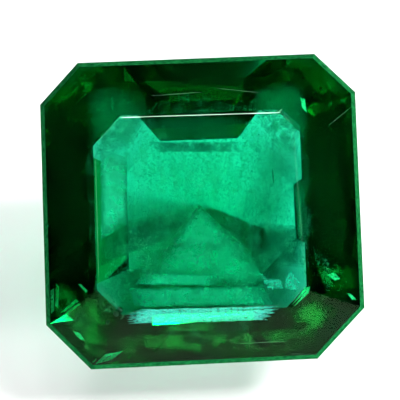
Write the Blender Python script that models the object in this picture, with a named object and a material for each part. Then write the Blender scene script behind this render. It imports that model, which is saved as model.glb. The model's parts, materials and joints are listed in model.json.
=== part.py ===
"""A loose emerald in a square step cut: one crystal, ground flat facet by facet, lying on its pavilion.

The stone is cut as a lapidary cuts it. A block of rough loses everything outside one plane after
another: the table on top, then for each of the eight sides a crown facet, a narrow break facet, the
upright girdle, and steps that get flatter down to the culet. It is then laid on the lowest facet of its
front side, where it lies by itself, with the table leaning towards -Y.
"""
import math

import bmesh
import bpy
from mathutils import Vector

# Driving dimensions in metres, table up, with the girdle's upper edge at height 0
CROWN_HEIGHT = 0.00185
BREAK_RISE = 0.00030  # the narrow facet between the girdle and the crown
BREAK_RUN = 0.00018
GIRDLE_THICKNESS = 0.00030
STEP_DEPTHS = (0.00219, 0.00350, 0.00360)  # where the pavilion's steps meet, below the girdle

# Each side: the way it faces in degrees from +X, and how far its girdle and table edge are from the axis
SIDES = {
    "right": (0.2, 0.00600, 0.00375),
    "back_right": (44.7, 0.00727, 0.00480),
    "back": (89.9, 0.00580, 0.00367),
    "back_left": (135.8, 0.00725, 0.00469),
    "left": (179.3, 0.00600, 0.00394),
    "front_left": (223.1, 0.00719, 0.00477),
    "front": (270.4, 0.00577, 0.00367),
    "front_right": (315.1, 0.00700, 0.00481),
}

# Slopes of the pavilion's steps in degrees from the girdle plane, from the girdle down to the culet
BACK_CORNER_SLOPES = (41.4, 39.0, 33.5, 33.5)
FRONT_CORNER_SLOPES = (46.0, 41.0, 40.6, 40.6)
SLOPES = {
    "right": (64.0, 44.4, 39.3, 39.3),
    "back_right": BACK_CORNER_SLOPES,
    "back": (53.0, 46.0, 43.2, 33.2),
    "back_left": BACK_CORNER_SLOPES,
    "left": (53.3, 41.2, 30.9, 30.9),
    "front_left": FRONT_CORNER_SLOPES,
    "front": (59.0, 40.6, 40.1, 30.0),
    "front_right": FRONT_CORNER_SLOPES,
}
RESTING_SIDE = "front"

ROUGH_SIZE = 0.030  # edge of the block of rough, larger than the stone all round
ON_THE_PLANE = 1e-8  # points this near a cutting plane count as on it
SAME_POINT = 1e-7


def outward(side):
    """The level direction in which a side faces."""
    angle = math.radians(SIDES[side][0])
    return Vector((math.cos(angle), math.sin(angle), 0))


def profile(side):
    """Points (distance from the axis, height) down a side, from the table's edge to below the culet."""
    _, girdle, table = SIDES[side]
    points = [
        (table, CROWN_HEIGHT),
        (girdle - BREAK_RUN, BREAK_RISE),
        (girdle, 0.0),
        (girdle, -GIRDLE_THICKNESS),
    ]
    reach, depth = girdle, 0.0
    for next_depth, slope in zip(STEP_DEPTHS + (ROUGH_SIZE / 2,), SLOPES[side]):
        reach -= (next_depth - depth) / math.tan(math.radians(slope))
        depth = next_depth
        points.append((reach, -GIRDLE_THICKNESS - depth))
    return points


def grind(stone, point, normal):
    """Takes away all of the stone beyond a plane, and closes it with one flat facet."""
    everything = stone.verts[:] + stone.edges[:] + stone.faces[:]
    bmesh.ops.bisect_plane(
        stone, geom=everything, dist=ON_THE_PLANE, plane_co=point, plane_no=normal, clear_outer=True
    )
    rim = [edge for edge in stone.edges if edge.is_boundary]
    if rim:
        bmesh.ops.contextual_create(stone, geom=rim)


def grind_side(stone, side):
    """Grinds one side's facets, each through two neighbouring points of its profile."""
    out = outward(side)
    points = profile(side)
    for (reach, height), (next_reach, next_height) in zip(points, points[1:]):
        normal = out * (height - next_height) + Vector((0, 0, next_reach - reach))
        grind(stone, out * reach + Vector((0, 0, height)), normal.normalized())


def cut_stone():
    """The whole stone, table up, as one closed mesh of flat facets."""
    stone = bmesh.new()
    bmesh.ops.create_cube(stone, size=ROUGH_SIZE)
    grind(stone, Vector((0, 0, CROWN_HEIGHT)), Vector((0, 0, 1)))
    for side in SIDES:
        grind_side(stone, side)
    bmesh.ops.remove_doubles(stone, verts=stone.verts[:], dist=SAME_POINT)
    bmesh.ops.recalc_face_normals(stone, faces=stone.faces[:])
    mesh = bpy.data.meshes.new("emerald")
    stone.to_mesh(mesh)
    stone.free()
    return mesh


def lay_down(stone):
    """Turns the resting side's culet facet to the floor, with the stone centred over the origin."""
    slope = math.radians(SLOPES[RESTING_SIDE][-1])
    contact = outward(RESTING_SIDE) * math.sin(slope) + Vector((0, 0, -math.cos(slope)))
    stone.rotation_mode = "QUATERNION"
    stone.rotation_quaternion = contact.rotation_difference(Vector((0, 0, -1)))
    turn = stone.rotation_quaternion.to_matrix()
    places = [turn @ vertex.co for vertex in stone.data.vertices]
    low = [min(place[axis] for place in places) for axis in range(3)]
    high = [max(place[axis] for place in places) for axis in range(3)]
    stone.location = (-(low[0] + high[0]) / 2, -(low[1] + high[1]) / 2, -low[2])


def emerald_material():
    """Clear, deep bluish-green crystal with a polished surface."""
    material = bpy.data.materials.new("emerald")
    material.use_nodes = True
    shader = material.node_tree.nodes["Principled BSDF"]
    shader.inputs["Base Color"].default_value = (0.005, 0.42, 0.16, 1)
    shader.inputs["Metallic"].default_value = 0.0
    shader.inputs["Roughness"].default_value = 0.02
    shader.inputs["IOR"].default_value = 1.58
    shader.inputs["Transmission Weight"].default_value = 0.9
    return material


for leftover in list(bpy.data.objects):
    bpy.data.objects.remove(leftover)

gemstone = bpy.data.collections.new("gemstone")
bpy.context.scene.collection.children.link(gemstone)

emerald = bpy.data.objects.new("emerald", cut_stone())
gemstone.objects.link(emerald)
emerald.data.materials.append(emerald_material())
lay_down(emerald)
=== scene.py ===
"""The looks of a loose step-cut emerald: clear green crystal, the flaws sealed in it, and its finish.

Lengths are in metres and turns in radians unless a comment says otherwise. A place in the stone is often
given as the pixel of the photograph that shows it, with how far it lies below the surface.
"""

import json
import math

import bpy
import numpy as np
from mathutils import Matrix, Vector


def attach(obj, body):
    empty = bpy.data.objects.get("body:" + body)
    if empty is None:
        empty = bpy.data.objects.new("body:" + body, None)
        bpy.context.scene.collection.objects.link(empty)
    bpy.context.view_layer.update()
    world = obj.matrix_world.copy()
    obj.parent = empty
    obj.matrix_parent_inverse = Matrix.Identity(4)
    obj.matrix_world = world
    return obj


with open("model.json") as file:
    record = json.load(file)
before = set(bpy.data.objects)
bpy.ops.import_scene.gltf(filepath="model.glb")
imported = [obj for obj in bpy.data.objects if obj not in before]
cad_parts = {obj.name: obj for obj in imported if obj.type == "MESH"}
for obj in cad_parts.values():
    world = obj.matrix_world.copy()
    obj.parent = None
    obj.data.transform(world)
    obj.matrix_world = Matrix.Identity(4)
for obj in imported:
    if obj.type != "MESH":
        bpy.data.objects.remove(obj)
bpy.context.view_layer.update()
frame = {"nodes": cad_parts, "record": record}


# The stone's own directions
# The stone was ground table up and lies on its front culet facet. Places in it are given from the middle
# of the table: to its right, up it towards the back, and down into the stone.

def unit(vector):
    """The vector at length 1."""
    return np.asarray(vector, float) / np.linalg.norm(vector)


faces_of_cut = {mount["name"]: mount for mount in frame["record"]["mounts"]}
TABLE_MIDDLE = np.array(faces_of_cut["table"]["pos_m"])
OUT = unit(faces_of_cut["table"]["axis"])
UP = unit(np.cross(OUT, faces_of_cut["girdle_right"]["axis"]))
RIGHT = np.cross(UP, OUT)


def in_stone(right, up, down):
    """Points at those distances from the middle of the table, as an array with x, y, z last."""
    right, up, down = np.broadcast_arrays(right, up, down)
    return TABLE_MIDDLE + right[..., None] * RIGHT + up[..., None] * UP - down[..., None] * OUT


# The photograph's view
# The camera looks square onto the table through a long lens, with the stone turned a little to the left.
# Sizes in the photograph are true at the level of the girdle.

STONE_WIDTH = 0.0120
STONE_WIDTH_IN_PHOTO = 317
PHOTO_SIDE = 400
PIXEL = STONE_WIDTH / STONE_WIDTH_IN_PHOTO
TABLE_MIDDLE_IN_PHOTO = (200.5, 212.0)
GIRDLE_HEIGHT = 0.00030
GIRDLE_DEPTH = (TABLE_MIDDLE - faces_of_cut["girdle_right"]["pos_m"]) @ OUT - GIRDLE_HEIGHT / 2
STONE_TURN = math.radians(2.5)
LENS = 180.0  # millimetres, as the sensor is
SENSOR = 36.0
NEAREST_SEEN = 0.001


def seen_at(x, y):
    """Points level with the girdle that the photograph shows at pixels x, y."""
    right = (np.asarray(x, float) - TABLE_MIDDLE_IN_PHOTO[0]) * PIXEL
    up = (TABLE_MIDDLE_IN_PHOTO[1] - np.asarray(y, float)) * PIXEL
    cos, sin = math.cos(STONE_TURN), math.sin(STONE_TURN)
    return in_stone(right * cos + up * sin, up * cos - right * sin, GIRDLE_DEPTH)


side = RIGHT * math.cos(STONE_TURN) - UP * math.sin(STONE_TURN)
EYE = seen_at(PHOTO_SIDE / 2, PHOTO_SIDE / 2) + OUT * PHOTO_SIDE * PIXEL * LENS / SENSOR
camera = bpy.data.objects.new("camera", bpy.data.cameras.new("camera"))
camera.data.lens = LENS
camera.data.sensor_width = SENSOR
camera.data.clip_start = NEAREST_SEEN
turn = Matrix((side, np.cross(OUT, side), OUT)).transposed()
camera.matrix_world = Matrix.Translation(Vector(EYE)) @ turn.to_4x4()
bpy.context.scene.collection.objects.link(camera)
bpy.context.scene.camera = camera


# The cut stone
# One crystal of emerald, ground flat facet by facet and polished. The light that crosses it loses its red
# first and then its blue, so a long way through the stone looks deep green and a short one bluish.

ABSORPTION = (880.0, 73.0, 200.0)  # of red, green and blue light, per metre
ABSORPTION_DENSITY = 950.0
EMERALD_IOR = 1.58
REFLECTION_TINT = (0.0, 0.15, 0.0, 1)


def new_material(name):
    """An empty node material with its Principled shader, and its node tree."""
    material = bpy.data.materials.new(name)
    material.use_nodes = True
    return material, material.node_tree.nodes["Principled BSDF"], material.node_tree


def emerald_material():
    """Clear polished crystal that takes up red light most and green least.

    Per metre it takes up the density times (1 - colour) of each colour of light.
    """
    material, shader, tree = new_material("emerald_crystal")
    shader.inputs["Base Color"].default_value = (1, 1, 1, 1)
    shader.inputs["Transmission Weight"].default_value = 1.0
    shader.inputs["IOR"].default_value = EMERALD_IOR
    shader.inputs["Specular Tint"].default_value = REFLECTION_TINT
    shader.inputs["Roughness"].default_value = 0.0
    absorption = tree.nodes.new("ShaderNodeVolumeAbsorption")
    absorption.inputs["Density"].default_value = ABSORPTION_DENSITY
    kept = [1 - taken / ABSORPTION_DENSITY for taken in ABSORPTION]
    absorption.inputs["Color"].default_value = (*kept, 1)
    tree.links.new(absorption.outputs["Volume"], tree.nodes["Material Output"].inputs["Volume"])
    return material


emerald = frame["nodes"]["emerald"]
emerald.data.materials.clear()
emerald.data.materials.append(emerald_material())


# The frosted rim
# The girdle is left as the coarse wheel ground it, and so is the narrow facet above it. The ground skin is
# only a few microns deep. It is a closed band that follows the eight sides.

facet_corners = np.array([emerald.data.vertices[facet.vertices[0]].co for facet in emerald.data.polygons])
FACET_NORMALS = np.array([facet.normal for facet in emerald.data.polygons])
FACET_OFFSETS = (facet_corners * FACET_NORMALS).sum(axis=1)
BREAK_RUN = 0.00018  # of the narrow facet between the girdle and the crown
BREAK_RISE = 0.00030
RIM_FOOT = 0.00001  # girdle left bare below the band
RIM_PROFILE = (  # inset from the girdle plane and height above the girdle's upper edge, from the bottom up
    (0.0, RIM_FOOT - GIRDLE_HEIGHT), (0.0, 0.0), (BREAK_RUN, BREAK_RISE),
)
RIM_SKIN = 0.000004
RIM_PARTS_A_SIDE = 24
UPRIGHT = 0.01  # a facet belongs to the girdle if the cosine between it and the table is smaller
GROUND_DARK = (0.0, 0.035, 0.008, 1)
GROUND_PALE = (0.01, 0.17, 0.045, 1)


def girdle_corners(inset):
    """Where each two neighbouring girdle planes cross, moved in by the inset, as right and up distances.

    Two lines n.p = d cross at p = inverse of (n1, n2) times (d1, d2). The mesh has more than one triangle
    in each plane, so one of each is taken, in order round the stone.
    """
    upright = np.abs(FACET_NORMALS @ OUT) < UPRIGHT
    normals = np.stack([FACET_NORMALS[upright] @ RIGHT, FACET_NORMALS[upright] @ UP], axis=-1)
    offsets = FACET_OFFSETS[upright] - FACET_NORMALS[upright] @ TABLE_MIDDLE - inset
    _, single = np.unique(normals.round(3), axis=0, return_index=True)
    single = single[np.argsort(np.arctan2(normals[single, 1], normals[single, 0]))]
    normals, offsets = normals[single], offsets[single]
    pairs = np.stack([normals, np.roll(normals, -1, axis=0)], axis=1)
    sides = np.stack([offsets, np.roll(offsets, -1)], axis=1)
    return np.linalg.solve(pairs, sides[..., None])[..., 0]


def frosted_rim():
    """The band as points and faces.

    Its section is the rim's profile moved out by half the skin, then the same moved in, as one closed loop.
    Round the stone each level is the octagon of its inset, with every side in equal parts.
    """
    loop = [(inset - RIM_SKIN / 2, height) for inset, height in RIM_PROFILE]
    loop += [(inset + RIM_SKIN / 2, height) for inset, height in reversed(RIM_PROFILE)]
    share = (np.arange(RIM_PARTS_A_SIDE) / RIM_PARTS_A_SIDE)[None, :, None]
    rings = []
    for inset, height in loop:
        corners = girdle_corners(inset)
        round_it = corners[:, None] * (1 - share) + np.roll(corners, -1, axis=0)[:, None] * share
        right, up = round_it.reshape(-1, 2).T
        rings.append(in_stone(right, up, GIRDLE_DEPTH - height))
    levels, spokes = len(rings), len(rings[0])
    level, spoke = np.meshgrid(np.arange(levels), np.arange(spokes), indexing="ij")
    above, beside = (level + 1) % levels, (spoke + 1) % spokes
    here, there = level * spokes, above * spokes
    corners = np.stack([here + spoke, here + beside, there + beside, there + spoke], axis=-1)
    return np.concatenate(rings), corners.reshape(-1, 4).tolist()


def sealed_piece(name, points, faces, material, smooth=True):
    """A mesh of those points and faces that belongs to the stone."""
    mesh = bpy.data.meshes.new(name)
    mesh.from_pydata(points.tolist(), [], faces)
    if smooth:
        mesh.shade_smooth()
    mesh.materials.append(material)
    piece = bpy.data.objects.new(name, mesh)
    bpy.context.scene.collection.objects.link(piece)
    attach(piece, "root")


def ground_material():
    """Emerald ground matt: dark green with paler scuffs along the girdle."""
    material, shader, tree = new_material("ground_emerald")
    place = tree.nodes.new("ShaderNodeTexCoord")
    scuffs = tree.nodes.new("ShaderNodeTexNoise")
    scuffs.inputs["Scale"].default_value = 8000
    scuffs.inputs["Detail"].default_value = 6
    spread = tree.nodes.new("ShaderNodeMapRange")
    spread.inputs["From Min"].default_value = 0.3
    spread.inputs["From Max"].default_value = 0.75
    mix = tree.nodes.new("ShaderNodeMix")
    mix.data_type = "RGBA"
    mix.inputs["A"].default_value = GROUND_DARK
    mix.inputs["B"].default_value = GROUND_PALE
    tree.links.new(place.outputs["Object"], scuffs.inputs["Vector"])
    tree.links.new(scuffs.outputs["Fac"], spread.inputs["Value"])
    tree.links.new(spread.outputs["Result"], mix.inputs["Factor"])
    tree.links.new(mix.outputs["Result"], shader.inputs["Base Color"])
    shader.inputs["Roughness"].default_value = 0.45
    shader.inputs["Specular IOR Level"].default_value = 0.0
    return material


sealed_piece("frosted_rim", *frosted_rim(), ground_material(), smooth=False)


# Growth tubes
# Hollow tubes as fine as hairs, which the crystal grew round. They all run the way it grew, up the table.
# Each is a spindle, closed to a point at both ends.

TUBE_COUNT = 420
TUBE_FIELD = (0.0038, 0.0036, 0.0003, 0.0040)  # half its width and length, and its least and greatest depth
TUBE_LENGTHS = (0.0001, 0.0009)
TUBE_MEAN_LENGTH = 0.00032
TUBE_WIDTHS = (0.000006, 0.000016)
TUBE_LEAN = 0.03
TRIES = 12  # random places drawn for each one wanted, because many fall outside the stone


def sealed(points, margin):
    """Which points lie inside the stone, at least that far below every facet."""
    return (points @ FACET_NORMALS.T < FACET_OFFSETS - margin).all(axis=-1)


def scattered(random, count, field, margin):
    """Random places below the table, inside the field and at least the margin below every facet."""
    wide, long, top, bottom = field
    tries = random.uniform((-wide, -long, top), (wide, long, bottom), (count * TRIES, 3))
    places = in_stone(tries[:, 0], tries[:, 1], tries[:, 2])
    return places[sealed(places, margin)][:count]


def spindles(middles, along, lengths, widths, thicknesses, stations=5, sides=6):
    """Many closed spindles as points and faces.

    At share s of a spindle's length and at angle a round it, a point is the middle, plus (s - 1/2) times
    the length along it, plus sqrt(sin(pi s)) times half the width times cos a to one side and half the
    thickness times sin a square to both. That side is square to OUT, leant a little, because a spindle may
    lie along OUT itself.
    """
    along = along / np.linalg.norm(along, axis=1, keepdims=True)
    across = np.cross(along, OUT + 0.01 * RIGHT)
    across /= np.linalg.norm(across, axis=1, keepdims=True)
    square = np.cross(along, across)
    share = np.linspace(0, 1, stations + 2)[1:-1]
    angle = np.arange(sides) / sides * 2 * math.pi
    ring = (
        np.cos(angle)[None, None, :, None] * (across * widths[:, None])[:, None, None, :]
        + np.sin(angle)[None, None, :, None] * (square * thicknesses[:, None])[:, None, None, :]
    )
    spine = (along * lengths[:, None])[:, None, None, :]
    swell = np.sqrt(np.sin(math.pi * share))[None, :, None, None] / 2
    rings = middles[:, None, None, :] + (share - 0.5)[None, :, None, None] * spine + swell * ring
    tips = middles[:, None, :] + np.array([-0.5, 0.5])[None, :, None] * spine[:, 0]
    points = np.concatenate([rings.reshape(len(middles), -1, 3), tips], axis=1)
    station, corner = np.meshgrid(np.arange(stations - 1), np.arange(sides), indexing="ij")
    here = station * sides + corner
    turned = station * sides + (corner + 1) % sides
    walls = np.stack([here, turned, turned + sides, here + sides], axis=-1).reshape(-1, 4)
    corner = np.arange(sides)
    turned = (corner + 1) % sides
    last = (stations - 1) * sides
    first_tip = np.stack([np.full(sides, stations * sides), turned, corner], axis=-1)
    last_tip = np.stack([np.full(sides, stations * sides + 1), last + corner, last + turned], axis=-1)
    first_point = np.arange(len(middles))[:, None, None] * points.shape[1]
    quads = (walls + first_point).reshape(-1, 4).tolist()
    triangles = (np.concatenate([first_tip, last_tip]) + first_point).reshape(-1, 3).tolist()
    return points.reshape(-1, 3), quads + triangles


def tube_material():
    """A hollow tube seen from the side: pale, soft and mostly see-through."""
    material, shader, _ = new_material("growth_tube")
    shader.inputs["Base Color"].default_value = (0.1, 0.8, 0.45, 1)
    shader.inputs["Roughness"].default_value = 0.4
    shader.inputs["Alpha"].default_value = 0.25
    return material


def growth_tubes():
    """Tubes of many lengths, each leaning a little."""
    random = np.random.default_rng(3)
    places = scattered(random, TUBE_COUNT, TUBE_FIELD, margin=0.0005)
    count = len(places)
    lean = random.normal(0, TUBE_LEAN, (count, 3))
    lengths = random.gamma(2.0, TUBE_MEAN_LENGTH / 2, count).clip(*TUBE_LENGTHS)
    widths = random.uniform(*TUBE_WIDTHS, count)
    return spindles(places, UP + lean, lengths, widths, widths)


sealed_piece("growth_tubes", *growth_tubes(), tube_material())


# Dark needles and specks
# Slivers and grains of other minerals that the crystal took in as it grew: one long needle on the right,
# dark blobs near the lower left corner, and fine dark dust below the table.

SLOWEST = 1e-9  # a ray that nears a facet's plane more slowly never meets it
PATCH_SHADE = 0.3


def seen_inside(x, y, below):
    """Points in the stone that the photograph shows at pixels x, y, that far along the bent ray.

    The ray from the eye meets the stone at the last of the facet planes that it enters, and is bent there
    by Snell's law.
    """
    x, y, below = np.broadcast_arrays(np.asarray(x, float), np.asarray(y, float), np.asarray(below, float))
    ray = seen_at(x, y) - EYE
    ray /= np.linalg.norm(ray, axis=-1, keepdims=True)
    rate = ray @ FACET_NORMALS.T
    room = FACET_OFFSETS - FACET_NORMALS @ EYE
    reach = np.where(rate < -SLOWEST, room / np.minimum(rate, -SLOWEST), -np.inf)
    normal = FACET_NORMALS[reach.argmax(axis=-1)]
    cosine = -(ray * normal).sum(axis=-1)
    bent_cosine = np.sqrt(1 - (1 - cosine ** 2) / EMERALD_IOR ** 2)
    bent = ray / EMERALD_IOR + (cosine / EMERALD_IOR - bent_cosine)[..., None] * normal
    return EYE + reach.max(axis=-1)[..., None] * ray + below[..., None] * bent


def mineral_material(name, colour, roughness):
    """Opaque mineral with a dull shine, a little patchy in colour."""
    material, shader, tree = new_material(name)
    place = tree.nodes.new("ShaderNodeTexCoord")
    patches = tree.nodes.new("ShaderNodeTexNoise")
    patches.inputs["Scale"].default_value = 20000
    mix = tree.nodes.new("ShaderNodeMix")
    mix.data_type = "RGBA"
    mix.inputs["A"].default_value = (*colour, 1)
    mix.inputs["B"].default_value = (*[part * PATCH_SHADE for part in colour], 1)
    tree.links.new(place.outputs["Object"], patches.inputs["Vector"])
    tree.links.new(patches.outputs["Fac"], mix.inputs["Factor"])
    tree.links.new(mix.outputs["Result"], shader.inputs["Base Color"])
    shader.inputs["Roughness"].default_value = roughness
    return material


NEEDLE = (273, 176, 0.0012)  # pixels in the photograph, and way below the surface
NEEDLE_LENGTH = 0.00065
NEEDLE_WIDTH = 0.00005
NEEDLE_LEAN = 0.05
NEEDLE_FLATNESS = 0.6
OTHER_NEEDLES = 14
OTHER_LENGTHS = (0.0001, 0.0003)
OTHER_WIDTHS = (0.000012, 0.000024)
NEEDLE_FIELD = (0.0036, 0.0036, 0.0006, 0.0030)  # as the tubes' field


def dark_needles():
    """The long needle and a few short ones like it, all along the crystal."""
    random = np.random.default_rng(5)
    others = scattered(random, OTHER_NEEDLES, NEEDLE_FIELD, margin=0.0005)
    middles = np.concatenate([seen_inside(*NEEDLE)[None], others])
    count = len(middles)
    lengths = np.concatenate([[NEEDLE_LENGTH], random.uniform(*OTHER_LENGTHS, count - 1)])
    widths = np.concatenate([[NEEDLE_WIDTH], random.uniform(*OTHER_WIDTHS, count - 1)])
    lean = random.normal(0, NEEDLE_LEAN, (count, 3))
    return spindles(middles, UP + lean, lengths, widths, widths * NEEDLE_FLATNESS)


needle = mineral_material("dark_needle", (0.004, 0.05, 0.02), 0.5)
sealed_piece("dark_needles", *dark_needles(), needle)

DUST_COUNT = 900
DUST_FIELD = (0.0040, 0.0038, 0.0002, 0.0040)
GRAIN_SIZES = (0.00001, 0.00005)
GRAIN_MEAN_SIZE = 0.000016
SPECK_STRETCH = 1.3
SPECK_FLATNESS = (0.5, 0.9)
BLOBS = (  # pixels in the photograph, way below the surface, and size
    (86, 347, 0.0008, 0.00018),
    (120, 310, 0.0009, 0.00024),
    (108, 322, 0.0010, 0.00022),
    (96, 301, 0.0009, 0.00016),
)


def mineral_specks():
    """The blobs near the lower left corner, and dust below the table."""
    random = np.random.default_rng(8)
    dust_and_painted_light = scattered(random, DUST_COUNT, DUST_FIELD, margin=0.0003)
    blobs = np.array([seen_inside(x, y, below) for x, y, below, _ in BLOBS])
    grain = random.gamma(2.0, GRAIN_MEAN_SIZE / 2, len(dust_and_painted_light)).clip(*GRAIN_SIZES)
    sizes = np.concatenate([[size for *_, size in BLOBS], grain])
    middles = np.concatenate([blobs, dust_and_painted_light])
    count = len(middles)
    along = random.normal(0, 1, (count, 3))
    thicknesses = sizes * random.uniform(*SPECK_FLATNESS, count)
    return spindles(middles, along, sizes * SPECK_STRETCH, sizes, thicknesses, stations=3)


speck = mineral_material("mineral_speck", (0.02, 0.04, 0.01), 0.4)
sealed_piece("mineral_specks", *mineral_specks(), speck)


# Droplet drifts
# Drops of brine with a gas bubble each, left in trails where cracks healed. Thousands of them make the fine
# pale mottling that is seen all over the table.

DROPLET_COUNT = 4200
DROPLET_FIELD = (0.0038, 0.0036, 0.0002, 0.0040)
DROPLET_WIDTHS = (0.000012, 0.00007)
DROPLET_MEAN_WIDTH = 0.000027
DROPLET_STRETCH = 1.6
DROPLET_FLATNESS = 0.5
DRIFT_COUNT = 26
DRIFT_FIELD = (0.0034, 0.0033, 0.0004, 0.0032)
DRIFT_LENGTH = 0.0016
DRIFT_BEND = 0.0009
DRIFT_SPREAD = 0.00022
DRIFT_REACH = 0.0036  # how far to any side of the table's middle drops are left


def droplet_drifts():
    """Flat drops in curved drifts, and about a quarter as many scattered in between.

    A drop at share s of its drift lies at the drift's middle plus s times its length along its lead plus s
    squared times its bend to one side, and a little off that.
    """
    random = np.random.default_rng(12)
    loose = scattered(random, DROPLET_COUNT // 4, DROPLET_FIELD, margin=0.0003)
    centres = scattered(random, DRIFT_COUNT, DRIFT_FIELD, margin=0.0006)
    lead = random.normal(0, 1, (len(centres), 3)) + UP
    lead /= np.linalg.norm(lead, axis=1, keepdims=True)
    bend = np.cross(lead, random.normal(0, 1, (len(centres), 3)))
    drift = random.integers(0, len(centres), DROPLET_COUNT)
    share = random.normal(0, 0.5, DROPLET_COUNT)[:, None]
    trail = centres[drift] + lead[drift] * share * DRIFT_LENGTH + bend[drift] * share ** 2 * DRIFT_BEND
    middles = np.concatenate([loose, trail + random.normal(0, DRIFT_SPREAD, (DROPLET_COUNT, 3))])
    from_axis = np.abs((middles - TABLE_MIDDLE) @ np.stack([RIGHT, UP], axis=1)).max(axis=1)
    middles = middles[sealed(middles, margin=0.0002) & (from_axis < DRIFT_REACH)]
    count = len(middles)
    widths = random.gamma(3.0, DROPLET_MEAN_WIDTH / 3, count).clip(*DROPLET_WIDTHS)
    along = random.normal(0, 1, (count, 3))
    lengths, thicknesses = widths * DROPLET_STRETCH, widths * DROPLET_FLATNESS
    return spindles(middles, along, lengths, widths, thicknesses, stations=3, sides=5)


def droplet_material():
    """Brine and gas in emerald: clear, with a pale sheen."""
    material, shader, _ = new_material("brine_droplet")
    shader.inputs["Base Color"].default_value = (0.1, 0.8, 0.45, 1)
    shader.inputs["Roughness"].default_value = 0.25
    shader.inputs["Alpha"].default_value = 0.25
    return material


sealed_piece("droplet_drifts", *droplet_drifts(), droplet_material())


# Healed fractures
# Old cracks that the crystal sealed again: curved films finer than paper, each a net of drops and channels.
# A film is a closed lens whose outline stops short of the facets.

FILM_THICKNESS = 0.000004
FILM_WAVES = ((2, 0.22), (3, 0.13), (7, 0.06))  # how many round the edge, and how high over the reach
FILM_RIPPLE = 0.25
LONGEST_REACH = 0.85  # of the way to the margin, so that the film's ripples stay sealed


def to_the_surface(middle, directions):
    """How far the stone reaches from a point inside it, along each direction."""
    rate = directions @ FACET_NORMALS.T
    room = FACET_OFFSETS - FACET_NORMALS @ middle
    return np.where(rate > SLOWEST, room / np.maximum(rate, SLOWEST), np.inf).min(axis=-1)


def lens(middle, edge, lift, normal, thickness):
    """A closed thin sheet as points and faces, from its middle, the ways to its edge and its lift.

    On ring k of n, share s = k / n, a point is the middle plus s times the way to the edge plus the lift
    along the normal, plus or minus half the thickness times sqrt(1 - s squared). The last ring is the rim.
    """
    rings, spokes = lift.shape
    share = (np.arange(1, rings + 1) / rings)[:, None, None]
    sheet = middle + share * edge[None] + lift[..., None] * normal
    half = thickness / 2 * np.sqrt(1 - share ** 2) * normal
    upper = (sheet + half).reshape(-1, 3)
    lower = (sheet - half)[:-1].reshape(-1, 3)
    poles = np.array([middle + thickness / 2 * normal, middle - thickness / 2 * normal])
    ring, spoke = np.meshgrid(np.arange(rings - 1), np.arange(spokes), indexing="ij")
    here = ring * spokes + spoke
    beside = ring * spokes + (spoke + 1) % spokes
    top = np.stack([here, here + spokes, beside + spokes, beside], axis=-1).reshape(-1, 4)
    under = np.stack([here, beside, beside + spokes, here + spokes], axis=-1) + rings * spokes
    under[-1, :, 2:] -= rings * spokes
    spoke = np.arange(spokes)
    beside = (spoke + 1) % spokes
    pole = len(upper) + len(lower)
    caps = np.concatenate([
        np.stack([np.full(spokes, pole), spoke, beside], axis=-1),
        np.stack([np.full(spokes, pole + 1), len(upper) + beside, len(upper) + spoke], axis=-1),
    ])
    faces = top.tolist() + under.reshape(-1, 4).tolist() + caps.tolist()
    return np.concatenate([upper, lower, poles]), faces


def film(random, middle, normal, reach, bow, margin=0.0004, rings=22, spokes=72):
    """A curved film as points and faces.

    Its edge is at reach times 1 plus three waves round it, and never within the margin of a facet. At share
    s of the way out it is lifted by bow times reach times (s squared plus s times a slow ripple). The
    ripple goes by sin(5 a + phase) times sin(4 b), with a and b the ways out to two sides over the reach.
    """
    normal = unit(normal)
    first = unit(np.cross(normal, UP + 0.3 * OUT))
    second = np.cross(normal, first)
    angle = np.arange(spokes) / spokes * 2 * math.pi
    directions = np.cos(angle)[:, None] * first + np.sin(angle)[:, None] * second
    waves = np.zeros(spokes)
    for number, height in FILM_WAVES:
        waves += height * np.sin(number * angle + random.uniform(0, 2 * math.pi))
    room = to_the_surface(middle, directions) - margin
    length = np.minimum(reach * (1 + waves), LONGEST_REACH * room)
    edge = length[:, None] * directions
    share = (np.arange(1, rings + 1) / rings)[:, None]
    across, along = share * (edge @ first), share * (edge @ second)
    phase = random.uniform(0, 2 * math.pi)
    ripple = FILM_RIPPLE * np.sin(across / reach * 5 + phase) * np.sin(along / reach * 4)
    return lens(middle, edge, bow * reach * (share ** 2 + ripple * share), normal, FILM_THICKNESS)


def joined(shapes):
    """Several shapes, each points and faces, as one."""
    points, faces, count = [], [], 0
    for shape_points, shape_faces in shapes:
        points.append(shape_points)
        faces += [[count + corner for corner in face] for face in shape_faces]
        count += len(shape_points)
    return np.concatenate(points), faces


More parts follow.
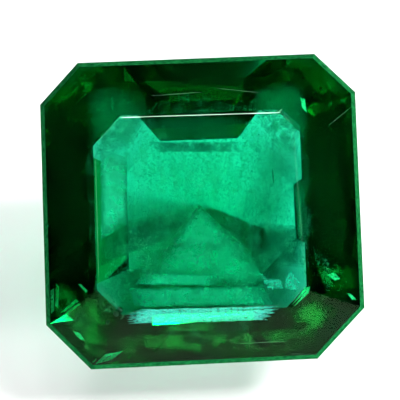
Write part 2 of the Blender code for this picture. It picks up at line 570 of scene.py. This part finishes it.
def blotch_pattern():
    """A node group: soft blotches on Object coordinates, stretched along the crystal.

    The mask is fractal noise between two thresholds, times its strength, and fades to nothing at the radius
    from the middle. The grain is fine even noise.
    """
    group = bpy.data.node_groups.new("blotch_pattern", "ShaderNodeTree")
    for name, value in (("Scale", 4000.0), ("From", 0.5), ("To", 0.7), ("Strength", 0.5), ("Stretch", 1.0)):
        socket = group.interface.new_socket(name, in_out="INPUT", socket_type="NodeSocketFloat")
        socket.default_value = value
    group.interface.new_socket("Middle", in_out="INPUT", socket_type="NodeSocketVector")
    group.interface.new_socket("Radius", in_out="INPUT", socket_type="NodeSocketFloat").default_value = 1.0
    for name in ("Mask", "Grain"):
        group.interface.new_socket(name, in_out="OUTPUT", socket_type="NodeSocketFloat")
    nodes, links = group.nodes, group.links
    inputs, outputs = nodes.new("NodeGroupInput"), nodes.new("NodeGroupOutput")
    place = nodes.new("ShaderNodeTexCoord")
    along_stone = nodes.new("ShaderNodeCombineXYZ")
    for direction, socket in zip((RIGHT, UP, OUT), along_stone.inputs):
        part = nodes.new("ShaderNodeVectorMath")
        part.operation = "DOT_PRODUCT"
        part.inputs[1].default_value = direction
        links.new(place.outputs["Object"], part.inputs[0])
        links.new(part.outputs["Value"], socket)
    shrink = nodes.new("ShaderNodeCombineXYZ")
    shrink.inputs["X"].default_value = 1
    shrink.inputs["Z"].default_value = 1
    stretched = nodes.new("ShaderNodeVectorMath")
    stretched.operation = "DIVIDE"
    links.new(inputs.outputs["Stretch"], shrink.inputs["Y"])
    links.new(along_stone.outputs["Vector"], stretched.inputs[0])
    links.new(shrink.outputs["Vector"], stretched.inputs[1])
    noise = nodes.new("ShaderNodeTexNoise")
    noise.inputs["Detail"].default_value = 5
    noise.inputs["Roughness"].default_value = 0.62
    links.new(stretched.outputs["Vector"], noise.inputs["Vector"])
    links.new(inputs.outputs["Scale"], noise.inputs["Scale"])
    band = nodes.new("ShaderNodeMapRange")
    band.interpolation_type = "SMOOTHSTEP"
    links.new(noise.outputs["Fac"], band.inputs["Value"])
    links.new(inputs.outputs["From"], band.inputs["From Min"])
    links.new(inputs.outputs["To"], band.inputs["From Max"])
    links.new(inputs.outputs["Strength"], band.inputs["To Max"])
    away = nodes.new("ShaderNodeVectorMath")
    away.operation = "DISTANCE"
    links.new(place.outputs["Object"], away.inputs[0])
    links.new(inputs.outputs["Middle"], away.inputs[1])
    fade = nodes.new("ShaderNodeMapRange")
    fade.interpolation_type = "SMOOTHSTEP"
    fade.inputs["To Min"].default_value = 1
    fade.inputs["To Max"].default_value = 0
    links.new(away.outputs["Value"], fade.inputs["Value"])
    links.new(inputs.outputs["Radius"], fade.inputs["From Max"])
    faded = nodes.new("ShaderNodeMath")
    faded.operation = "MULTIPLY"
    links.new(band.outputs["Result"], faded.inputs[0])
    links.new(fade.outputs["Result"], faded.inputs[1])
    grain = nodes.new("ShaderNodeTexNoise")
    grain.inputs["Scale"].default_value = 26000
    grain.inputs["Detail"].default_value = 2
    links.new(stretched.outputs["Vector"], grain.inputs["Vector"])
    links.new(faded.outputs["Value"], outputs.inputs["Mask"])
    links.new(grain.outputs["Fac"], outputs.inputs["Grain"])
    return group


BLOTCH_PATTERN = blotch_pattern()


def film_material(name, dark, light, roughness, **pattern_values):
    """A film without shine that shows only where its mask is, and is dark or light by its grain."""
    material, shader, tree = new_material(name)
    pattern = tree.nodes.new("ShaderNodeGroup")
    pattern.node_tree = BLOTCH_PATTERN
    for socket, value in pattern_values.items():
        pattern.inputs[socket].default_value = value
    mix = tree.nodes.new("ShaderNodeMix")
    mix.data_type = "RGBA"
    mix.inputs["A"].default_value = (*dark, 1)
    mix.inputs["B"].default_value = (*light, 1)
    spread = tree.nodes.new("ShaderNodeMapRange")
    spread.inputs["From Min"].default_value = 0.35
    spread.inputs["From Max"].default_value = 0.65
    tree.links.new(pattern.outputs["Grain"], spread.inputs["Value"])
    tree.links.new(spread.outputs["Result"], mix.inputs["Factor"])
    tree.links.new(mix.outputs["Result"], shader.inputs["Base Color"])
    tree.links.new(pattern.outputs["Mask"], shader.inputs["Alpha"])
    shader.inputs["Roughness"].default_value = roughness
    shader.inputs["Specular IOR Level"].default_value = 0.0
    return material


HEALED_FRACTURES = (  # pixels, way below the surface, how the film leans (right, up, out), reach and bow
    (142, 152, 0.0016, (0.5, 0.6, 1.0), 0.0008, 0.25),
    (268, 150, 0.0014, (-0.7, 0.2, 0.8), 0.0013, 0.3),
    (130, 265, 0.0018, (0.4, -0.5, 1.0), 0.0012, 0.2),
    (245, 268, 0.0020, (-0.3, -0.6, 1.0), 0.0010, 0.3),
    (200, 170, 0.0030, (0.1, 0.3, 1.0), 0.0016, 0.15),
    (75, 325, 0.0010, (0.8, -0.6, 0.5), 0.0009, 0.3),
    (330, 270, 0.0012, (-0.9, -0.2, 0.4), 0.0009, 0.35),
)


def healed_fractures():
    """The films, most of them where the photograph shows a blur."""
    random = np.random.default_rng(21)
    shapes = []
    for x, y, below, lean, reach, bow in HEALED_FRACTURES:
        normal = lean[0] * RIGHT + lean[1] * UP + lean[2] * OUT
        shapes.append(film(random, seen_inside(x, y, below), normal, reach, bow))
    return joined(shapes)


net_of_drops = film_material(
    "healed_fracture", (0.01, 0.3, 0.12), (0.2, 0.9, 0.5), 0.5,
    Scale=8000, From=0.45, To=0.65, Strength=0.25,
)
sealed_piece("healed_fractures", *healed_fractures(), net_of_drops)


# Feathers
# Young cracks near the corners, still open. The film of air in each sends some light back, and their bright
# green colour is painted sparkle where facets throw light, so they show as small bright chips and threads.
# Each is a flake with the outline that the photograph shows.

FLAKE_THICKNESS = 0.000006
# Painted sparkle: cracks at the places in the corners where facets throw light.
CRACKS_WITH_PAINTED_SPARKLE = (  # way below the surface, then the outline in pixels of the photograph
    (0.0003, ((49, 290), (54, 288), (54, 311), (50, 314))),
    (0.0005, ((56, 283), (59, 286), (58, 309), (55, 306))),
    (0.0004, ((78, 284), (81, 284), (88, 291), (86, 293))),
    (0.0007, ((60, 313), (76, 299), (79, 301), (66, 315))),
    (0.0005, ((73, 331), (80, 333), (85, 341), (79, 339))),
    (0.0006, ((95, 364), (105, 354), (123, 351), (112, 360))),
    (0.0004, ((292, 305), (305, 287), (310, 286), (309, 293), (297, 304))),
    (0.0005, ((327, 275), (334, 272), (341, 279), (335, 281))),
    (0.0003, ((347, 293), (351, 294), (357, 300), (352, 300))),
    (0.0005, ((300, 97), (305, 99), (307, 113), (302, 108))),
)


def flake(outline, ragged=0.9, rings=6, points_a_side=6):
    """A flat flake as points and faces, from the corners of its outline.

    Each side of the outline is cut into equal parts. Every second point is moved in to the ragged share of
    its way from the middle, which makes the edge ragged.
    """
    outline = outline[::-1]
    share = (np.arange(points_a_side) / points_a_side)[None, :, None]
    edge = (outline[:, None] * (1 - share) + np.roll(outline, -1, axis=0)[:, None] * share).reshape(-1, 3)
    middle = edge.mean(axis=0)
    share = np.where(np.arange(len(edge)) % 2, ragged, 1.0)[:, None]
    normal = unit(np.cross(edge[0] - middle, edge[points_a_side] - middle))
    return lens(middle, (edge - middle) * share, np.zeros((rings, len(edge))), normal, FLAKE_THICKNESS)


def flakes(outlines):
    """Flakes at those depths below the surface, with those outlines in the photograph."""
    return joined([flake(seen_inside(*np.array(outline).T, below)) for below, outline in outlines])


# Partly painted sparkle: the cracks' bright green colour stands in for light that facets throw.
crack_with_painted_sparkle = film_material(
    "crack_with_painted_sparkle", (0.01, 0.55, 0.12), (0.05, 1.0, 0.4), 0.3,
    Scale=14000, From=0.35, To=0.5, Strength=0.9,
)
crack_with_painted_sparkle.node_tree.nodes["Principled BSDF"].inputs["Metallic"].default_value = 0.5
sealed_piece("feathers_with_painted_sparkle", *flakes(CRACKS_WITH_PAINTED_SPARKLE), crack_with_painted_sparkle)


# Pale veils
# A wide film in front of the table, and two small open cracks by its lower right corner whose walls scatter
# light. The long one is a painted highlight, a pale band where bright light falls, speckled at its left
# end.

# Painted highlight: the long veil stands where a bright band of light falls in front of the table.
PAINTED_HIGHLIGHT_OUTLINE = (0.0004, ((126, 317), (138, 309), (273, 306), (279, 309), (268, 320), (215, 322), (128, 324)))
SHORT_VEILS = (
    (0.0007, ((257, 271), (266, 279), (281, 279), (284, 289), (268, 290))),
    (0.0008, ((285, 276), (291, 270), (300, 283), (296, 292), (285, 288))),
)

# The pale band's colours are a painted highlight.
painted_highlight_band = film_material(
    "painted_highlight_band", (0.0, 0.8, 0.65), (0.4, 1.0, 1.0), 0.5,
    Scale=6000, From=0.25, To=0.55, Strength=0.65, Stretch=0.6,
)
thin_crack = film_material(
    "thin_crack", (0.0, 0.5, 0.3), (0.2, 1.0, 0.8), 0.5,
    Scale=9000, From=0.35, To=0.55, Strength=0.5,
)
sealed_piece("painted_highlight_veil", *flakes([PAINTED_HIGHLIGHT_OUTLINE]), painted_highlight_band)
sealed_piece("short_veils", *flakes(SHORT_VEILS), thin_crack)


# Growth haze
# Fine films of dust on old crystal faces, as wide as the table and nearly level with it. They cloud the
# table a little, in streaks that run up the crystal.

HAZE_DEPTHS = (0.0007, 0.0013, 0.0021)
HAZE_REACH = 0.0036
HAZE_BOW = 0.01  # how far a film bows, as a share of its reach
HAZE_LEAN = 0.03


def growth_haze():
    """One film at each depth, below nearly all of the table."""
    random = np.random.default_rng(30)
    shapes = []
    for down in HAZE_DEPTHS:
        lean = OUT + random.normal(0, HAZE_LEAN, 3)
        middle = in_stone(0.0, 0.0, down)
        shapes.append(film(random, middle, lean, HAZE_REACH, HAZE_BOW, margin=0.0003, rings=30, spokes=96))
    return joined(shapes)


haze = film_material(
    "growth_haze", (0.0, 0.12, 0.05), (0.1, 0.9, 0.5), 0.8,
    Scale=2600, From=0.4, To=0.8, Strength=0.2, Stretch=2.2,
)
sealed_piece("growth_haze", *growth_haze(), haze)


# Clouds of painted light and shade
# Thin sheets that paint light and shade inside the stone: pale ones where it looks lighter, dark ones where
# it looks darker, green ones where facets throw green light. Each is five thin sheets over one another,
# smaller and smaller, so that it fades at its edge. The soft spots are single films that fade from their
# middle.

CLOUD_SHARES = (1.08, 0.98, 0.88, 0.78, 0.66)  # size of each sheet to the outline's, from the top one down
CLOUD_STEP = 0.00003
CLOUD_ROUGHNESS = 0.6
# Painted light: pale sheets where the stone looks lighter, such as the light triangle below the culet.
PAINTED_LIGHT_OUTLINES = (  # way below the surface, then the outline in pixels of the photograph
    (0.0016, ((200, 208), (216, 224), (238, 243), (262, 277), (248, 284), (144, 282), (157, 266))),
    (0.0014, ((200, 210), (212, 222), (226, 236), (222, 246), (186, 248), (176, 240), (188, 222))),
    (0.0012, ((138, 284), (146, 274), (214, 275), (213, 285))),
    (0.0012, ((134, 289), (258, 287), (268, 304), (140, 306))),
    (0.0008, ((101, 152), (126, 160), (126, 222), (102, 236))),
)
# Painted shade: dark sheets over the darker bands and diagonals of the table.
PAINTED_SHADE_OUTLINES = (
    (0.0012, ((152, 142), (243, 142), (240, 152), (156, 152))),
    (0.0006, ((158, 119), (238, 117), (229, 136), (170, 137))),
    (0.0014, ((100, 238), (130, 222), (168, 212), (188, 221), (166, 240), (130, 252), (100, 266))),
    (0.0014, ((302, 226), (262, 224), (222, 224), (246, 246), (270, 262), (302, 266))),
)
# Painted light and shade at the corners of the table and in the slot by its right edge.
CORNER_LIGHT_AND_SHADE_OUTLINES = (
    (0.0008, ((90, 94), (112, 88), (140, 94), (146, 114), (128, 146), (98, 152), (88, 124))),
    (0.0008, ((254, 92), (278, 84), (302, 88), (308, 126), (294, 154), (272, 138), (256, 114))),
    (0.0003, ((294, 182), (302, 182), (305, 244), (299, 244))),
)
# Painted green light where facets throw light in the lower corners and across the front of the crown.
PAINTED_GREEN_LIGHT_OUTLINES = (
    (0.0006, ((56, 298), (82, 290), (98, 302), (108, 322), (98, 348), (76, 338), (62, 318))),
    (0.0006, ((156, 325), (216, 323), (214, 331), (166, 332))),
    (0.0004, ((50, 286), (66, 284), (78, 300), (72, 322), (58, 318), (49, 306))),
    (0.0005, ((76, 328), (94, 334), (118, 350), (100, 360), (84, 350))),
    (0.0007, ((292, 314), (308, 298), (330, 306), (324, 326), (300, 336))),
    (0.0006, ((318, 266), (338, 262), (350, 284), (338, 292), (322, 282))),
    (0.0007, ((104, 334), (150, 334), (230, 334), (292, 328), (318, 334), (300, 350), (110, 354))),
)
# Painted shade that darkens the crown at its back and sides.
CROWN_PAINTED_SHADE_OUTLINES = (
    (0.0004, ((158, 62), (256, 60), (246, 86), (170, 87))),
    (0.0007, ((50, 112), (80, 100), (86, 180), (84, 262), (60, 280), (46, 200))),
    (0.0007, ((308, 124), (344, 108), (350, 200), (352, 262), (318, 256), (310, 200))),
)


def clouds(outlines):
    """All the sheets of the clouds with those outlines."""
    shapes = []
    for below, outline in outlines:
        x, y = np.array(outline, float).T
        for count, share in enumerate(CLOUD_SHARES):
            smaller = x.mean() + (x - x.mean()) * share, y.mean() + (y - y.mean()) * share
            sheet = seen_inside(*smaller, below + count * CLOUD_STEP)
            shapes.append(flake(sheet, ragged=1.0, rings=2))
    return joined(shapes)


CLOUD_KINDS = (  # name, outlines, dark and light colour, noise scale, thresholds and strength
    ("painted_light_clouds", PAINTED_LIGHT_OUTLINES, (0.06, 0.9, 0.5), (0.12, 1.0, 0.7), 2600, 0.2, 0.6, 0.38),
    ("painted_shade_clouds", PAINTED_SHADE_OUTLINES, (0.0, 0.03, 0.01), (0.0, 0.2, 0.07), 2600, 0.2, 0.6, 0.14),
    ("corner_painted_light_and_shade", CORNER_LIGHT_AND_SHADE_OUTLINES, (0.0, 0.15, 0.04), (0.0, 0.5, 0.16), 2200, 0.25, 0.6, 0.14),
    ("painted_green_light", PAINTED_GREEN_LIGHT_OUTLINES, (0.0, 0.45, 0.04), (0.0, 0.75, 0.08), 1700, 0.4, 0.7, 0.11),
    ("crown_painted_shade", CROWN_PAINTED_SHADE_OUTLINES, (0.0, 0.01, 0.0), (0.0, 0.06, 0.01), 2600, 0.1, 0.5, 0.26),
)
for name, outlines, dark, light, scale, start, full, strength in CLOUD_KINDS:
    dust_and_painted_light = film_material(
        name, dark, light, CLOUD_ROUGHNESS, Scale=scale, From=start, To=full, Strength=strength
    )
    sealed_piece(name, *clouds(outlines), dust_and_painted_light)

# Painted shade tones, then painted light tones, for the soft spots.
PAINTED_SHADE_TONES = ((0.0, 0.06, 0.02), (0.0, 0.3, 0.12))
PAINTED_LIGHT_TONES = ((0.1, 0.95, 0.55), (0.15, 1.0, 0.7))
SPOT_OVERLAP = 1.3  # how much wider than its spot a film is
SPOT_BOW = 0.02
# Two spots of painted shade on the right of the table, and one of painted light below the culet.
PAINTED_SPOTS = (  # pixels in the photograph, way below the surface, radius, colours and strength
    (278, 168, 0.0016, 0.0017, PAINTED_SHADE_TONES, 0.4),
    (262, 205, 0.0019, 0.0013, PAINTED_SHADE_TONES, 0.4),
    (203, 244, 0.0017, 0.0012, PAINTED_LIGHT_TONES, 0.85),
)
for number, (x, y, below, radius, colours, strength) in enumerate(PAINTED_SPOTS):
    middle = seen_inside(x, y, below)
    dust_and_painted_light = film_material(
        f"painted_spot_{number}", *colours, CLOUD_ROUGHNESS,
        Scale=2600, From=0.0, To=0.4, Strength=strength, Middle=middle, Radius=radius,
    )
    random = np.random.default_rng(40 + number)
    sheet = film(random, middle, OUT, radius * SPOT_OVERLAP, SPOT_BOW, margin=0.0003)
    sealed_piece(f"painted_spot_{number}", *sheet, dust_and_painted_light)


# Worn edges and scratches
# Emerald is brittle, so the sharp edge at the back of the table is chipped, and other stones have left
# hairlines on the crown. The white line along that edge, worst at its ends, is partly the chipping and
# partly a painted glint where the edge catches the light. Each is a thin spindle half sunk in the surface.

TABLE_CORNERS = (  # pixels in the photograph, clockwise from the left end of the back edge
    (120, 117.5), (281, 112.5), (292.5, 124), (306, 284), (290, 305), (123, 312.5), (99, 288), (95, 144),
)
# Painted glint, partly chipping: the white line along the back edge of the table.
BACK_EDGE_WEAR_AND_GLINT = (  # pixels from and to, and width
    ((120, 117.5), (281, 112.5), 0.000018),
    ((120, 117.5), (142, 117), 0.000032),
    ((243, 113.7), (281, 112.5), 0.000028),
    ((278, 112.8), (282, 109), 0.000016),
)
EDGE_WEAR_WIDTH = 0.000010
WEAR_DEPTH = 0.5  # thickness of a worn line as a share of its width
EDGE_STATIONS = 24  # along the chipped edge; half as many along the other lines
SCRATCHES = (  # pixels from and to, and width
    ((352, 106), (328, 126), 0.000010),
    ((234, 344), (288, 341), 0.000008),
    ((289, 354), (320, 353), 0.000008),
    ((150, 96), (203, 92), 0.000005),
    ((214, 88), (262, 93), 0.000005),
)


def line_on_stone(lines, stations):
    """Spindles on the surface between pairs of pixels, as points and faces."""
    starts = seen_inside(*np.array([start for start, _, _ in lines]).T, 0.0)
    ends = seen_inside(*np.array([end for _, end, _ in lines]).T, 0.0)
    widths = np.array([width for _, _, width in lines])
    lengths = np.linalg.norm(ends - starts, axis=1)
    middles = (starts + ends) / 2
    return spindles(middles, ends - starts, lengths, widths, widths * WEAR_DEPTH, stations=stations)


def wear_and_glint_material(name, colour, alpha):
    """Crushed emerald, matt and paler than the stone; near white, it also paints the glint on the back
    edge.
    """
    material, shader, _ = new_material(name)
    shader.inputs["Base Color"].default_value = (*colour, 1)
    shader.inputs["Roughness"].default_value = 0.6
    shader.inputs["Alpha"].default_value = alpha
    return material


# Every edge of the table but the back one, from each corner to the next
next_corners = TABLE_CORNERS[2:] + TABLE_CORNERS[:1]
other_edges = [(start, end, EDGE_WEAR_WIDTH) for start, end in zip(TABLE_CORNERS[1:], next_corners)]
# The back edge's near-white line is partly chipping and partly painted glint.
chipped_edge_and_glint = wear_and_glint_material("chipped_edge_and_glint", (0.8, 1.0, 0.9), 0.9)
rubbed_edge = wear_and_glint_material("rubbed_edge", (0.2, 0.8, 0.5), 0.3)
hairline = wear_and_glint_material("hairline", (0.4, 0.8, 0.6), 0.4)
sealed_piece("worn_back_edge_and_glint", *line_on_stone(BACK_EDGE_WEAR_AND_GLINT, EDGE_STATIONS), chipped_edge_and_glint)
sealed_piece("worn_edges", *line_on_stone(other_edges, EDGE_STATIONS // 2), rubbed_edge)
sealed_piece("scratches", *line_on_stone(SCRATCHES, EDGE_STATIONS // 2), hairline)


# The studio
# A plain pale floor and nine soft lights: a strong one on the right, which also throws the green glow to
# the left of the stone, weaker ones behind it, and small low ones round its front.

FLOOR_SIDE = 4.0
FLOOR_DROP = 0.00003  # so that the contact facet and the floor aren't in one plane
FLOOR_COLOUR = (0.8, 0.8, 0.8, 1)
ROOM_LIGHT = (0.012, 0.012, 0.012, 1)
SOFTBOX_DISTANCE = 0.25
SOFTBOXES = (  # name, azimuth and elevation in degrees, width and height, radiance
    ("softbox_right", 8, 36, (0.055, 0.055), 92),
    ("softbox_right_back", 42, 50, (0.11, 0.05), 9),
    ("softbox_back", 113, 45, (0.05, 0.13), 6.5),
    ("softbox_low_back", 90, 31, (0.13, 0.04), 11.5),
    ("softbox_top", 80, 64, (0.05, 0.04), 9),
    ("softbox_low_right", 325, 18.5, (0.06, 0.035), 60),
    ("softbox_low_left", 242, 21, (0.04, 0.03), 110),
    ("softbox_front", 268, 21.3, (0.05, 0.024), 100),
    ("softbox_front_right", 334, 32, (0.05, 0.03), 0.8),
)
LIGHT_BOUNCES = 32  # so that light gets out again after many reflections in the stone
SHEETS_SEEN_THROUGH = 24
MIRROR_BOUNCES = 16


def floor_material():
    """Plain matt white paper."""
    material, shader, _ = new_material("studio_floor")
    shader.inputs["Base Color"].default_value = FLOOR_COLOUR
    shader.inputs["Roughness"].default_value = 0.9
    shader.inputs["Specular IOR Level"].default_value = 0.0
    return material


def make_floor():
    """A square sheet just under the stone."""
    half = FLOOR_SIDE / 2
    corners = [(x * half, y * half, -FLOOR_DROP) for x, y in ((-1, -1), (1, -1), (1, 1), (-1, 1))]
    mesh = bpy.data.meshes.new("studio_floor")
    mesh.from_pydata(corners, [], [(0, 1, 2, 3)])
    mesh.materials.append(floor_material())
    floor = bpy.data.objects.new("studio_floor", mesh)
    bpy.context.scene.collection.objects.link(floor)


def softbox(name, azimuth, elevation, size, radiance):
    """A soft rectangular light that faces the stone, from azimuth 0 = +X to 90 = +Y and that elevation."""
    light = bpy.data.lights.new(name, "AREA")
    light.shape = "RECTANGLE"
    light.size, light.size_y = size
    light.energy = radiance * size[0] * size[1] * math.pi
    around, above = math.radians(azimuth), math.radians(elevation)
    level = math.cos(above)
    towards = Vector((math.cos(around) * level, math.sin(around) * level, math.sin(above)))
    box = bpy.data.objects.new(name, light)
    box.location = towards * SOFTBOX_DISTANCE
    box.rotation_mode = "QUATERNION"
    box.rotation_quaternion = towards.to_track_quat("Z", "Y")
    bpy.context.scene.collection.objects.link(box)


make_floor()
for box_values in SOFTBOXES:
    softbox(*box_values)

world = bpy.data.worlds.new("studio")
world.use_nodes = True
world.node_tree.nodes["Background"].inputs["Color"].default_value = ROOM_LIGHT
bpy.context.scene.world = world

scene = bpy.context.scene
scene.view_settings.view_transform = "Standard"
scene.cycles.max_bounces = LIGHT_BOUNCES
scene.cycles.transmission_bounces = LIGHT_BOUNCES
scene.cycles.transparent_max_bounces = SHEETS_SEEN_THROUGH
scene.cycles.glossy_bounces = MIRROR_BOUNCES
